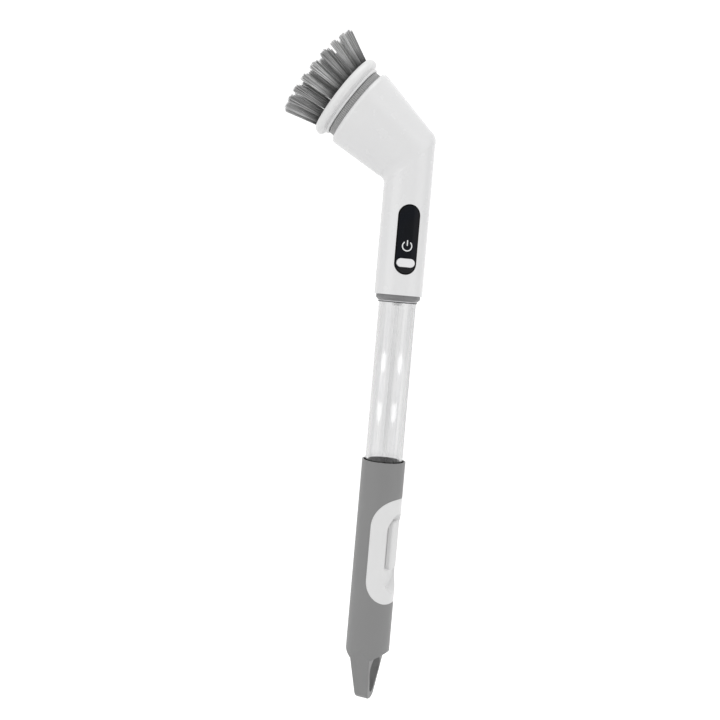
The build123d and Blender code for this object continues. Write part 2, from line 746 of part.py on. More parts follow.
button_travel = 0.8
button_proud = 0.7
button_round = 0.8
button_low = switch_face + button_travel + running_fit
flange_half = button_width / 2 + flange_lip - slip_fit
flange_top = math.sqrt((neck_radius - panel_depth) ** 2 - flange_half ** 2) - free_gap
button_plane = facing(panel_turn, button_height_z)
with BuildPart() as power_button:
    with BuildSketch(button_plane.offset(button_low)):
        SlotOverall(button_width, button_height)
    extrude(amount=neck_radius + button_proud - button_low)
    fillet(power_button.faces().sort_by(Axis(button_plane.origin, button_plane.z_dir))[-1].edges(),
           radius=button_round)
    with BuildSketch(button_plane.offset(button_low)):
        SlotOverall(2 * flange_half, button_height + 2 * flange_lip - 2 * slip_fit)
    extrude(amount=flange_top - button_low)
save(power_button, "power_button")

# Charging socket, its rubber flap and the foot that holds the flap
flap_play = 0.15
flap_barrel = flap_thickness / 2 - running_fit
flap_hinge = flap_barrel + flap_play - flap_height / 2      # hinge line, from the socket's middle
hinge_out = flap_seat + seat_gap + flap_barrel
nub_height = 0.6
flap_outer = neck_radius - running_fit
with BuildPart() as charge_socket:
    with BuildSketch(back.offset(flap_seat - seat_gap)):
        SlotOverall(socket_width, socket_height)
    extrude(amount=-socket_depth)
    with BuildSketch(back.offset(flap_seat - seat_gap)):
        SlotOverall(socket_width - 2 * socket_wall, socket_height - 2 * socket_wall)
    extrude(amount=2 * socket_wall - socket_depth, mode=Mode.SUBTRACT)
    with BuildSketch(back.offset(flap_seat - seat_gap - 2 * socket_wall)):
        Rectangle(socket_width - socket_height, socket_tongue)
    extrude(amount=2 * socket_wall - socket_depth + 2 * socket_wall)
save(charge_socket, "charge_socket")

flap_top = flap_height / 2 - flap_play
flap_side = Plane(origin=back.origin, x_dir=back.z_dir, z_dir=-back.x_dir)
with BuildPart() as charge_flap:
    with BuildSketch(flap_side.offset(flap_play - flap_width / 2)):
        with Locations((hinge_out, flap_hinge)):
            Circle(flap_barrel)
        with Locations((hinge_out, (flap_hinge + flap_top) / 2)):
            Rectangle(2 * flap_barrel, flap_top - flap_hinge)
    extrude(amount=flap_width - 2 * flap_play)
    with BuildSketch(Plane.XY.offset(charge_height - flap_height)):
        Circle(flap_outer)
    extrude(amount=2 * flap_height, mode=Mode.INTERSECT)
    with BuildSketch(back.offset(flap_seat + seat_gap)):
        SlotOverall(socket_width - 2 * socket_wall - 2 * flap_play,
                    socket_height - 2 * socket_wall - 2 * flap_play)
    extrude(amount=-nub_height)
save(charge_flap, "charge_flap")

with BuildPart() as flap_anchor:
    with BuildSketch(back.offset(flap_seat)):
        with Locations((0, -(flap_height + flap_foot) / 2)):
            Rectangle(flap_width - 2 * flap_play, flap_foot - 2 * flap_play)
    extrude(amount=overrun)
    with BuildSketch(Plane.XY.offset(charge_height - 2 * flap_height)):
        Circle(flap_outer)
    extrude(amount=2 * flap_height, mode=Mode.INTERSECT)
save(flap_anchor, "flap_anchor")

# Collar and its rings
collar_radius = 16.6
collar_edge = 1.9
collar_foot = 14.6
sleeve_length = 11.0
sleeve_radius = neck_bore - seat_gap
collar_lip = 12.4
lip_thickness = 2.0
ring_height = 0.6
seal_height = 0.7
collar_top = neck_bottom - seat_gap
cap_top = tube_top + cap_flange
with BuildPart() as collar:
    with BuildSketch(Plane.XZ):
        Polygon((tube_radius + seat_gap, collar_low), (collar_foot, collar_low),
                (collar_radius, collar_low + collar_edge), (collar_radius, collar_top),
                (sleeve_radius, collar_top), (sleeve_radius, collar_top + sleeve_length),
                (collar_lip, collar_top + sleeve_length), (collar_lip, cap_top + seat_gap),
                (tube_radius + seat_gap, cap_top + seat_gap), align=None)
    revolve(axis=Axis.Z)
save(collar, "collar")

with BuildPart() as collar_ring:
    with BuildSketch(Plane.XZ):
        band(tube_radius + running_fit, collar_foot - seat_gap, collar_low - ring_height, collar_low)
    revolve(axis=Axis.Z)
save(collar_ring, "collar_ring")

with BuildPart() as tube_seal:
    with BuildSketch(Plane.XZ):
        band(tube_radius + running_fit, collar_foot, collar_low - ring_height - seal_height,
             collar_low - ring_height)
    revolve(axis=Axis.Z)
save(tube_seal, "tube_seal")

# Clear tube with its cap above and its plug below
tube_depth = 17.6           # length of tube inside the grip
plug_flange = 2.0
plug_spigot = 10.0
plug_boss = 5.0
plug_boss_height = 6.0
seal_groove = 1.2
seal_ring = 0.55
rod_seal_radius = 4.0
rod_seal_height = 3.0
tube_low = grip_mouth - tube_depth
plug_ledge = tube_low - plug_flange
tube_bore = tube_radius - tube_wall
spigot_radius = tube_bore - seat_gap
spigot_depth = 8.0
valve_radius = 4.0
valve_tip = 2.0
valve_height = 5.0
valve_depth = 5.4
channel_depth = 2.0
valve_cone = 3.6
valve_top = tube_top - valve_depth
valve_shoulder = valve_top - valve_cone
valve_low = valve_shoulder - valve_height
channel_radius = 0.9
channel_height = tube_top - channel_depth
nipple_bore = 0.7
rod_bore = 1.3
rod_top = valve_low + valve_cone - free_gap

with BuildPart() as reservoir_tube:
    with BuildSketch(Plane.XY.offset(tube_low)):
        Circle(tube_radius)
        Circle(tube_bore, mode=Mode.SUBTRACT)
    extrude(amount=tube_top - tube_low)
save(reservoir_tube, "reservoir_tube")

with BuildPart() as tube_cap:
    with BuildSketch(Plane.XZ):
        band(0, spigot_radius, tube_top - spigot_depth, cap_top)
        band(0, tube_radius - seat_gap, tube_top + running_fit, cap_top)
    revolve(axis=Axis.Z)
    # seat of the valve
    with BuildSketch(Plane.XZ):
        Polygon((0, tube_top - spigot_depth - overrun), (valve_radius + overrun, tube_top - spigot_depth - overrun),
                (valve_radius + free_gap, valve_shoulder), (valve_tip + free_gap, valve_top + free_gap),
                (0, valve_top + free_gap), align=None)
    revolve(axis=Axis.Z, mode=Mode.SUBTRACT)
    # nipple and the channel that leads to it
    with BuildSketch(Plane.XY.offset(cap_top)):
        with Locations((hose_x, 0)):
            Circle(hose_bore - running_fit)
    extrude(amount=cap_nipple)
    with BuildSketch(Plane.XY.offset(channel_height)):
        with Locations((hose_x, 0)):
            Circle(nipple_bore)
    extrude(amount=cap_top + cap_nipple - channel_height, mode=Mode.SUBTRACT)
    with BuildSketch(Plane.YZ):
        with Locations((0, channel_height)):
            Circle(channel_radius)
    extrude(amount=hose_x, mode=Mode.SUBTRACT)
    with BuildSketch(Plane.XY.offset(channel_height)):
        Circle(channel_radius)
    extrude(amount=valve_top - channel_height, mode=Mode.SUBTRACT)
save(tube_cap, "tube_cap")

with BuildPart() as valve_plug:
    with BuildSketch(Plane.XZ):
        Polygon((0, valve_low), (valve_radius, valve_low), (valve_radius, valve_shoulder),
                (valve_tip, valve_top), (0, valve_top), align=None)
        band(0, rod_radius + running_fit, valve_low, rod_top + running_fit, mode=Mode.SUBTRACT)
    revolve(axis=Axis.Z)
save(valve_plug, "valve_plug")

with BuildPart() as tube_plug:
    with BuildSketch(Plane.XZ):
        band(0, tube_radius, plug_ledge, tube_low)
        band(0, spigot_radius, tube_low, tube_low + plug_spigot)
        band(0, plug_boss, plug_ledge - plug_boss_height, plug_ledge)
        band(spigot_radius - seal_groove, spigot_radius, tube_low + plug_spigot / 2 - seal_ring - running_fit,
             tube_low + plug_spigot / 2 + seal_ring + running_fit, mode=Mode.SUBTRACT)
        band(0, rod_seal_radius, plug_ledge - rod_seal_height - running_fit, plug_ledge, mode=Mode.SUBTRACT)
        band(0, rod_radius + running_fit, plug_ledge - plug_boss_height, tube_low + plug_spigot,
             mode=Mode.SUBTRACT)
    revolve(axis=Axis.Z)
save(tube_plug, "tube_plug")

with BuildPart() as rod_seal:
    with BuildSketch(Plane.XZ):
        band(rod_radius + running_fit, rod_seal_radius - running_fit, plug_ledge - rod_seal_height,
             plug_ledge - running_fit)
    revolve(axis=Axis.Z)
save(rod_seal, "rod_seal")

with BuildPart() as plug_seal:
    with BuildSketch(Plane.XZ):
        with Locations((tube_bore - seal_ring - running_fit, tube_low + plug_spigot / 2)):
            Circle(seal_ring)
    revolve(axis=Axis.Z)
save(plug_seal, "plug_seal")

# Grip: a round handle that flattens below its shoulder into the tail with the hanging slot
bore_step = 1.4             # the bore below the tube is this much narrower than the tube
grip_bore = tube_radius - bore_step
bore_rise = 5.8
bore_low = slot_to_shoulder + bore_rise
flare_radius = (tube_radius + grip_radius) / 2
flare_depth = 4.0
tail_side = grip_radius + seat_gap
tail_side_low = 19.6
tail_end = 19.1             # tip of the tail below the origin
tail_tip_radius = 6.6
slot_wide = 9.0             # radius of the slot's upper end and the height of its centre
slot_wide_height = 4.7
slot_narrow = 3.6
slot_narrow_height = -10.0
shoulder_out = (16.5, 18.7)     # half thickness and height at the shoulder's outer end
shoulder_in = (7.9, 13.4)       # and where it meets the tail
tail_tip_half = 5.2             # half the tail's thickness at its tip
tail_root = 14.4                # the tail's own block runs up to here inside the round handle
tail_round = 1.3
insert_length = 77.7
insert_share = 0.537        # middle of the insert, as a share of the grip's length above the shoulder
insert_upper = 21.0         # radii of the insert's upper and lower ends, seen from its side
insert_lower = 17.4
insert_edge = 6.0           # the insert's side lies this far past the handle's axis in that view
insert_view = 66.0          # which is turned this far from the way the slider faces
insert_wall = 2.3
insert_height = slot_to_shoulder + grip_length * insert_share
insert_inner = grip_radius - insert_wall
pocket_length = 51.5
pocket_width = 20.6
pocket_taper = 35.0         # the pocket's sides lean out this far
pocket_drop = 1.9
pocket_depth = 5.7
pan_wall = 3.8
pan_floor = 1.8
pocket_height = insert_height - pocket_drop
pocket_floor = grip_radius - pocket_depth
pan_under = pocket_floor - pan_floor
stem_width = 4.4
stem_length = 8.0
slider_rise = 3.9           # slider's middle above the insert's
slider_height = insert_height + slider_rise
stem_slot_play = 0.2
carriage_flat = pan_under - 3 * slip_fit
carriage_drop = 10.6
carriage_length = 28.0
carriage_low = insert_height - carriage_drop
carriage_high = carriage_low + carriage_length
spring_room = 28.0
post_high = carriage_low - spring_room
spring_post = 5.0
spigot_small = 2.4
spigot_rise = 5.0
lanyard = facing(grip_turn, 0)
side_view = facing(grip_turn - 90, 0)



def insert_form(gap):
    """The block that the insert fills: its outline in a view from one side, and the mirror image of that on
    the other side of the slider, both reaching out from the handle's axis."""
    upper_middle = insert_height + insert_length / 2 - insert_upper
    lower_middle = insert_height - insert_length / 2 + insert_lower
    with BuildPart() as form:
        with BuildSketch(facing(grip_turn - insert_view, 0)):
            with Locations((insert_upper - insert_edge, upper_middle)):
                Circle(insert_upper + gap)
            with Locations((insert_lower - insert_edge, lower_middle)):
                Circle(insert_lower + gap)
            make_hull()
        extrude(amount=grip_radius + overrun)
        split(bisect_by=side_view, keep=Keep.TOP)
        mirror(about=side_view)
    return form.part


with BuildPart() as tail:
    with BuildSketch(lanyard.offset(-grip_radius)):
        with Locations((0, tail_tip_radius - tail_end)):
            Circle(tail_tip_radius)
        with Locations((0, tail_side_low + grip_radius)):
            Rectangle(2 * tail_side, 2 * grip_radius)
        make_hull()
        with Locations((0, tail_root + 2 * grip_radius)):
            Rectangle(4 * grip_radius, 4 * grip_radius, mode=Mode.SUBTRACT)
    extrude(amount=2 * grip_radius)
    with BuildSketch(side_view.offset(-grip_radius)):
        Polygon((tail_tip_half, -tail_end), shoulder_in, (shoulder_in[0], tail_root),
                (-shoulder_in[0], tail_root), (-shoulder_in[0], shoulder_in[1]), (-tail_tip_half, -tail_end),
                align=None)
    extrude(amount=2 * grip_radius, mode=Mode.INTERSECT)
    fillet(tail.edges().filter_by(lambda edge: edge.center().Z < shoulder_in[1]
                                  and abs(edge.center().dot(lanyard.z_dir)) > tail_tip_half / 2),
           radius=tail_round)

with BuildPart() as grip:
    with BuildSketch(Plane.XY.offset(shoulder_in[1])):
        Circle(grip_radius)
    extrude(amount=grip_mouth - shoulder_in[1])
    with BuildSketch(lanyard.offset(-grip_radius)):
        with Locations((0, tail_tip_radius - tail_end)):
            Circle(tail_tip_radius)
        with Locations((0, (tail_side_low + grip_mouth) / 2)):
            Rectangle(2 * tail_side, grip_mouth - tail_side_low)
        make_hull()
    extrude(amount=2 * grip_radius, mode=Mode.INTERSECT)
    with BuildSketch(side_view.offset(-grip_radius)):
        Polygon(shoulder_in, shoulder_out, (shoulder_out[0], grip_mouth), (-shoulder_out[0], grip_mouth),
                (-shoulder_out[0], shoulder_out[1]), (-shoulder_in[0], shoulder_in[1]), align=None)
    extrude(amount=2 * grip_radius, mode=Mode.INTERSECT)
    add(tail.part)
    with BuildSketch(lanyard.offset(-grip_radius)):
        with Locations((0, slot_wide_height)):
            Circle(slot_wide)
        with Locations((0, slot_narrow_height)):
            Circle(slot_narrow)
        make_hull()
    extrude(amount=2 * grip_radius, mode=Mode.SUBTRACT)
    with BuildSketch(Plane.XZ):
        band(0, grip_bore, bore_low, plug_ledge)
        band(0, tube_radius + seat_gap, plug_ledge, grip_mouth)
        Polygon((tube_radius, grip_mouth - flare_depth), (tube_radius + seat_gap, grip_mouth - flare_depth),
                (flare_radius, grip_mouth), (tube_radius, grip_mouth), align=None)
    revolve(axis=Axis.Z, mode=Mode.SUBTRACT)
    add(insert_form(seat_gap), mode=Mode.SUBTRACT)
    with BuildSketch(Plane.XZ):
        band(0, spring_post, bore_low, post_high)
        band(0, spigot_small, post_high, post_high + spigot_rise)
    revolve(axis=Axis.Z)
save(grip, "grip")

with BuildPart() as thumb_insert:
    add(insert_form(0))
    with BuildSketch(Plane.XY.offset(insert_height - insert_length)):
        Circle(insert_inner)
    extrude(amount=2 * insert_length, mode=Mode.SUBTRACT)
    with BuildSketch(facing(grip_turn, pocket_height).offset(pan_under)):
        SlotOverall(pocket_length + 2 * pan_wall, pocket_width + 2 * pan_wall, rotation=90)
    extrude(amount=grip_radius - pan_under)
    with BuildSketch(Plane.XY.offset(insert_height - insert_length)):
        Circle(grip_radius)
    extrude(amount=2 * insert_length, mode=Mode.INTERSECT)
    with BuildSketch(facing(grip_turn, pocket_height).offset(pocket_floor)):
        SlotOverall(pocket_length, pocket_width, rotation=90)
    extrude(amount=pocket_depth + free_gap, taper=-pocket_taper, mode=Mode.SUBTRACT)
    with BuildSketch(facing(grip_turn, slider_height - slider_travel / 2)):
        Rectangle(stem_width + 2 * stem_slot_play, stem_length + slider_travel + 4 * stem_slot_play)
    extrude(amount=grip_radius, mode=Mode.SUBTRACT)
save(thumb_insert, "thumb_insert")

button_long = 36.3
button_wide = 12.0
button_corner = 3.0
slider_low = pocket_floor + free_gap
slider_sink = 1.5           # the slider's top lies this far inside the round of the grip
slider_high = grip_radius - slider_sink
slider_round = 1.6
stem_grip = 2.8
stem_foot = carriage_flat - stem_grip
with BuildPart() as slide_button:
    with BuildSketch(facing(grip_turn, slider_height).offset(slider_low)):
        RectangleRounded(button_wide, button_long, button_corner)
    extrude(amount=slider_high - slider_low)
    fillet(slide_button.faces().sort_by(Axis(lanyard.origin, lanyard.z_dir))[-1].edges(), radius=slider_round)
    with BuildSketch(facing(grip_turn, slider_height).offset(stem_foot)):
        Rectangle(stem_width, stem_length)
    extrude(amount=slider_low - stem_foot)
save(slide_button, "slide_button")

carriage_radius = grip_bore - free_gap
rod_grip = 13.8              # length of rod inside the carriage
rod_low = carriage_high - rod_grip
spring_pocket = 4.8
spring_sink = 6.0
spring_top = carriage_low + spring_sink
with BuildPart() as slide_carriage:
    with BuildSketch(Plane.XY.offset(carriage_low)):
        Circle(carriage_radius)
    extrude(amount=carriage_high - carriage_low)
    with BuildSketch(facing(grip_turn, insert_height).offset(carriage_flat)):
        Rectangle(2 * grip_radius, insert_length)
    extrude(amount=grip_radius, mode=Mode.SUBTRACT)
    with BuildSketch(facing(grip_turn, slider_height).offset(stem_foot - seat_gap)):
        Rectangle(stem_width + 2 * running_fit, stem_length + 2 * running_fit)
    extrude(amount=grip_radius, mode=Mode.SUBTRACT)
    with BuildSketch(Plane.XZ):
        band(0, rod_radius + running_fit, rod_low - seat_gap, carriage_high)
        band(0, spring_pocket, carriage_low, spring_top)
    revolve(axis=Axis.Z, mode=Mode.SUBTRACT)
save(slide_carriage, "slide_carriage")

with BuildPart() as pull_rod:
    with BuildSketch(Plane.XY.offset(rod_low)):
        Circle(rod_radius)
        Circle(rod_bore, mode=Mode.SUBTRACT)
    extrude(amount=rod_top - rod_low)
save(pull_rod, "pull_rod")

# Return spring, one unbroken wire
coil_radius = 3.6
wire_radius = 0.4
coil_turns = 12
spring_length = spring_top - post_high - 2 * wire_radius - 2 * running_fit
with BuildPart() as return_spring:
    with BuildLine() as coil:
        Helix(pitch=spring_length / coil_turns, height=spring_length, radius=coil_radius,
              center=(0, 0, post_high + wire_radius + running_fit))
    with BuildSketch(Plane(origin=coil.line @ 0, z_dir=coil.line % 0)):
        Circle(wire_radius)
    sweep(path=coil.line, is_frenet=True)
save(return_spring, "return_spring")
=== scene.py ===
import json
import math

import bmesh
import bpy
import numpy as np
from mathutils import Matrix, Vector


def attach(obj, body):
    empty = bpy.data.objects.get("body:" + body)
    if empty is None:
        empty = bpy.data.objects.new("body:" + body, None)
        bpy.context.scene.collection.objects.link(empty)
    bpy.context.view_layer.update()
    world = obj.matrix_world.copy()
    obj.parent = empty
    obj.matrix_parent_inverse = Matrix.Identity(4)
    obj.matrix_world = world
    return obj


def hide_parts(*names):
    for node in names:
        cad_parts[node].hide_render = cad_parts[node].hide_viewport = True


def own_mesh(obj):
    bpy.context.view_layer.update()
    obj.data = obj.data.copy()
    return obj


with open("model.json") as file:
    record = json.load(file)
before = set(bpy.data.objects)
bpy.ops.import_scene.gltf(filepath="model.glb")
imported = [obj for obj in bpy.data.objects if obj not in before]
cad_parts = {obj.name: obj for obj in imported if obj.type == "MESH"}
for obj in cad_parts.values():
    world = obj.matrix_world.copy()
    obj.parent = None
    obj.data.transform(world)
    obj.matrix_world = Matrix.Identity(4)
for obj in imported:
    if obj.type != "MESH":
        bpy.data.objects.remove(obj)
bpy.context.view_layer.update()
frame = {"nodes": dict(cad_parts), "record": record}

# An electric dish wand on a long handle. Lengths are in metres, and sizes that are named in
# millimetres are multiplied by MM.
MM = 0.001
sharp_angle = math.radians(32.0)    # edges sharper than this are not smoothed

# Frame of the brush: the crossing of the handle's and the brush's axes, and the brush's own directions
tilt = math.radians(56.0)
elbow = np.array((0.0, 0.0, 393.6)) * MM
brush_way = np.array((-math.sin(tilt), 0.0, math.cos(tilt)))
across_way = np.array((math.cos(tilt), 0.0, math.sin(tilt)))
side_way = np.array((0.0, 1.0, 0.0))


def on_brush(across, side, along):
    """Points in the brush's frame, in millimetres: across the axis, to its side, and out along it."""
    across, side, along = np.broadcast_arrays(across, side, along)
    return elbow + MM * (across[..., None] * across_way + side[..., None] * side_way
                         + along[..., None] * brush_way)


def smooth_step(value):
    """The soft step 3t^2 - 2t^3 of a value held between 0 and 1."""
    held = np.clip(value, 0, 1)
    return held * held * (3 - 2 * held)


def grid_faces(rows, columns, rows_close, columns_close):
    """Corner numbers of the quads of a grid of points that are numbered row by row."""
    row = np.arange(rows if rows_close else rows - 1)[:, None]
    column = np.arange(columns if columns_close else columns - 1)[None, :]
    row_after, column_after = (row + 1) % rows, (column + 1) % columns
    return np.stack([row * columns + column, row * columns + column_after,
                     row_after * columns + column_after, row_after * columns + column],
                    axis=-1).reshape(-1, 4)


def facing_out(points, faces):
    """The faces, turned over where the volume they enclose, summed over their triangles, is negative."""
    first, second, third = points[faces[:, 0]], points[faces[:, 1]], points[faces[:, 2]]
    fourth = points[faces[:, -1]]
    volume = (np.einsum("ij,ij->i", first, np.cross(second, third))
              + np.einsum("ij,ij->i", first, np.cross(third, fourth))).sum()
    return faces if volume > 0 else faces[:, ::-1]


def closed_grid(points):
    """Points and faces of a tube of grid points, rows by columns, whose two end rows are closed with fans
    about their middles."""
    rows, columns = points.shape[:2]
    flat = points.reshape(-1, 3)
    middles = np.stack([points[0].mean(0), points[-1].mean(0)])
    quads = grid_faces(rows, columns, False, True)
    column = np.arange(columns)
    after = (column + 1) % columns
    last = (rows - 1) * columns
    low = np.stack([after, column, np.full(columns, rows * columns)], axis=-1)
    high = np.stack([last + column, last + after, np.full(columns, rows * columns + 1)], axis=-1)
    return np.concatenate([flat, middles]), quads, np.concatenate([low, high])


def link_object(name, data):
    """A new object of a mesh, camera or lamp, linked to the scene."""
    made = bpy.data.objects.new(name, data)
    bpy.context.scene.collection.objects.link(made)
    return made


def link_smooth(name, mesh):
    """A new object of a mesh, smooth but for its sharp edges."""
    mesh.shade_smooth()
    mesh.set_sharp_from_angle(angle=sharp_angle)
    return link_object(name, mesh)


def new_piece(name, points, quads, triangles=None):
    """A mesh object from points and faces."""
    mesh = bpy.data.meshes.new(name)
    faces = facing_out(points, quads).tolist()
    if triangles is not None:
        flipped = faces[0] != quads[0].tolist()
        faces += (triangles[:, ::-1] if flipped else triangles).tolist()
    mesh.from_pydata(points.tolist(), [], faces)
    mesh.validate()
    return link_smooth(name, mesh)


def turned(name, outline, place, segments):
    """A closed outline of (radius, height) in millimetres carried round an axis. place gives the points
    for radius times cosine, radius times sine, and height."""
    angle = np.linspace(0, 2 * math.pi, segments, endpoint=False)[None, :]
    radius, height = outline[:, :1], outline[:, 1:]
    points = place(radius * np.cos(angle), radius * np.sin(angle), height + 0 * angle)
    rows, columns = points.shape[:2]
    return new_piece(name, points.reshape(-1, 3), grid_faces(rows, columns, True, True))


# Camera: in front of the handle and 0.77 m away, rolled so that the handle's top leans right
camera_place = (-0.029, -0.770, 0.2867)
roll = math.radians(4.97)
camera_data = bpy.data.cameras.new("camera")
camera = link_object("camera", camera_data)
right_way = Vector((math.cos(roll), 0, math.sin(roll)))
up_way = Vector((-math.sin(roll), 0, math.cos(roll)))
back_way = right_way.cross(up_way)
camera.matrix_world = Matrix.Translation(camera_place) @ Matrix(
    (right_way, up_way, back_way)).transposed().to_4x4()
camera_data.sensor_width = 36
camera_data.lens = 51.25
camera_data.shift_y = -0.10
bpy.context.scene.camera = camera


def linear(colour):
    """The linear colour of an sRGB hex value."""
    channels = [int(colour[place:place + 2], 16) / 255 for place in (1, 3, 5)]
    return [c / 12.92 if c <= 0.04045 else ((c + 0.055) / 1.055) ** 2.4 for c in channels] + [1.0]


def add_node(tree, kind, inputs=None, **settings):
    """Adds a node with its settings. Each input is given a value, or is linked where it is a socket."""
    made = tree.nodes.new(kind)
    for setting, value in settings.items():
        setattr(made, setting, value)
    for socket, value in (inputs or {}).items():
        if isinstance(value, bpy.types.NodeSocket):
            tree.links.new(value, made.inputs[socket])
        else:
            made.inputs[socket].default_value = value
    return made


def start_material(name):
    """A new material with an empty node tree and its output."""
    material = bpy.data.materials.new(name)
    material.use_nodes = True
    material.node_tree.nodes.clear()
    return material, material.node_tree, add_node(material.node_tree, "ShaderNodeOutputMaterial")


def beyond_radius(tree, place, radius_mm):
    """A socket that rises from 0 to 1 over the last 0.1 mm before a distance from the handle's axis."""
    level = add_node(tree, "ShaderNodeVectorMath", {0: place, 1: (1.0, 1.0, 0.0)}, operation="MULTIPLY")
    radius = add_node(tree, "ShaderNodeVectorMath", {0: level.outputs[0]}, operation="LENGTH")
    return add_node(tree, "ShaderNodeMapRange", {
        "Value": radius.outputs["Value"], "From Min": (radius_mm - 0.1) * MM,
        "From Max": radius_mm * MM}).outputs[0]


rough_spread = 0.05         # a finish's roughness varies by this much to both sides
bore_shade_low = 130.0           # height in millimetres above which the grip's bore gets painted shade, near black
bore_shade_black = "#0C0C0D"


def finish_of(name, light, dark, roughness, cloud_mm, grain_mm, grain_depth_mm, bore_shade_mm=None, **sockets):
    """A solid finish: the colour drifts between two shades in clouds of one size, and a finer grain varies
    the roughness and raises the surface a little. Above the bore shade's lower end, what lies inside the
    given radius from the handle's axis is painted near black: painted shade deep in the grip's bore."""
    material, tree, output = start_material(name)
    place = add_node(tree, "ShaderNodeTexCoord").outputs["Object"]
    cloud = add_node(tree, "ShaderNodeTexNoise", {
        "Vector": place, "Scale": 1 / (cloud_mm * MM), "Detail": 2.0})
    grain = add_node(tree, "ShaderNodeTexNoise", {
        "Vector": place, "Scale": 1 / (grain_mm * MM), "Detail": 3.0})
    colour = add_node(tree, "ShaderNodeMix", {0: cloud.outputs[0], 6: linear(light), 7: linear(dark)},
                      data_type="RGBA")
    rough = add_node(tree, "ShaderNodeMapRange", {
        "Value": grain.outputs[0], "To Min": roughness - rough_spread, "To Max": roughness + rough_spread})
    bump = add_node(tree, "ShaderNodeBump", {
        "Height": grain.outputs[0], "Distance": grain_depth_mm * MM, "Strength": 1.0})
    # painted shade: the bore, dark only because little light reaches into it, is coloured near black
    if bore_shade_mm:
        outside = beyond_radius(tree, place, bore_shade_mm)
        height = add_node(tree, "ShaderNodeSeparateXYZ", {0: place}).outputs["Z"]
        below = add_node(tree, "ShaderNodeMath", {0: height, 1: bore_shade_low * MM}, operation="LESS_THAN")
        plain = add_node(tree, "ShaderNodeMath", {0: outside, 1: below.outputs[0]},
                         operation="MAXIMUM")
        colour = add_node(tree, "ShaderNodeMix", {
            0: plain.outputs[0], 6: linear(bore_shade_black), 7: colour.outputs[2]}, data_type="RGBA")
    shader = add_node(tree, "ShaderNodeBsdfPrincipled", {
        "Base Color": colour.outputs[2], "Roughness": rough.outputs[0],
        "Normal": bump.outputs[0]} | sockets)
    tree.links.new(shader.outputs[0], output.inputs[0])
    return material


# Finishes
# glossy moulded ABS: white, with the slight ripple of a polished mould
gloss_white = finish_of("gloss_white_abs", "#E7E7E7", "#E3E3E4", 0.26, 40, 9, 0.004, IOR=1.54)
disc_white = finish_of("disc_white_abs", "#E8E8E8", "#E3E3E3", 0.32, 25, 5, 0.004, IOR=1.54)
button_white = finish_of("button_white_abs", "#EDEDEE", "#E6E6E8", 0.32, 8, 0.8, 0.003, IOR=1.54)
insert_white = finish_of("insert_white_abs", "#E4E4E4", "#DFDFDF", 0.36, 30, 1.2, 0.006, IOR=1.54)
slider_white = finish_of("slider_white_abs", "#E0E0E0", "#DBDBDB", 0.38, 20, 1.0, 0.006, IOR=1.54)
# satin moulded ABS with a fine spark-eroded texture
# the grip's bore is given painted shade, near black, inside a radius of 15.2 mm
satin_gray = finish_of("satin_gray_abs", "#858585", "#808080", 0.48, 45, 0.7, 0.012,
                       bore_shade_mm=15.2, IOR=1.54)
collar_gray = finish_of("collar_gray_abs", "#7E7E7F", "#777778", 0.45, 15, 0.7, 0.010, IOR=1.54)
cover_gray = finish_of("cover_gray_abs", "#A2A2A2", "#9A9A9A", 0.45, 12, 0.7, 0.010, IOR=1.54)
ring_light = finish_of("ring_light_abs", "#D6D6D8", "#CECED0", 0.40, 10, 0.8, 0.004, IOR=1.54)
# acetal, waxy and slightly see-through at its edges
gear_acetal = finish_of("gear_white_acetal", "#E6E3DA", "#DEDBD1", 0.38, 6, 0.6, 0.005, IOR=1.48)
case_gray = finish_of("case_gray_nylon", "#5D6063", "#55585B", 0.52, 8, 0.5, 0.010, IOR=1.53)
cap_black = finish_of("cap_black_nylon", "#242527", "#1E1F21", 0.55, 6, 0.5, 0.010, IOR=1.53)
# moulded rubber, matt
seal_dark = finish_of("seal_dark_rubber", "#4A4A4C", "#424244", 0.70, 5, 0.4, 0.012, IOR=1.50)
flap_rubber = finish_of("flap_white_rubber", "#DADADB", "#D3D3D5", 0.58, 8, 0.6, 0.008, IOR=1.50)
# metals: turned steel, plated motor can, sintered bronze, screw steel, spring wire
turned_steel = finish_of("turned_steel", "#C9CACC", "#BBBDC0", 0.24, 4, 0.4, 0.004, Metallic=1.0)
can_steel = finish_of("plated_can_steel", "#B9BBBD", "#A9ABAE", 0.30, 6, 0.5, 0.004, Metallic=1.0)
screw_steel = finish_of("plated_screw_steel", "#AEB0B3", "#9C9EA2", 0.32, 3, 0.3, 0.004, Metallic=1.0)
spring_steel = finish_of("spring_wire_steel", "#BFC1C4", "#AEB0B4", 0.26, 3, 0.3, 0.003, Metallic=1.0)
bush_bronze = finish_of("sintered_bronze", "#A87B4A", "#94693C", 0.42, 3, 0.3, 0.006, Metallic=1.0)
magnet_dark = finish_of("ferrite_magnet", "#3A3A3C", "#303032", 0.62, 4, 0.4, 0.010, IOR=1.60)
# shrunk film round the cell, and the circuit board's lacquer
cell_wrap = finish_of("cell_film", "#3E7FA8", "#37749C", 0.30, 12, 1.5, 0.004, IOR=1.53)
board_green = finish_of("board_lacquer", "#1E5B3A", "#184E31", 0.35, 5, 0.5, 0.006, IOR=1.52)
lens_white = finish_of("lens_diffuser", "#EDEDED", "#E4E4E4", 0.45, 3, 0.4, 0.003, IOR=1.50)
cap_clear = finish_of("cap_natural_nylon", "#D5D6D4", "#CBCCCA", 0.35, 6, 0.6, 0.005, IOR=1.53)
hose_clear = finish_of("hose_silicone", "#D9DAD8", "#D0D1CF", 0.38, 6, 0.6, 0.005, IOR=1.41)

flow_mm = 3.0               # width of the flow lines in clear mouldings
flow_stretch = 0.04         # and their pattern's scale along the handle against that across it
flow_low, flow_high = 0.38, 0.62    # levels of the noise between which the tint turns to the other


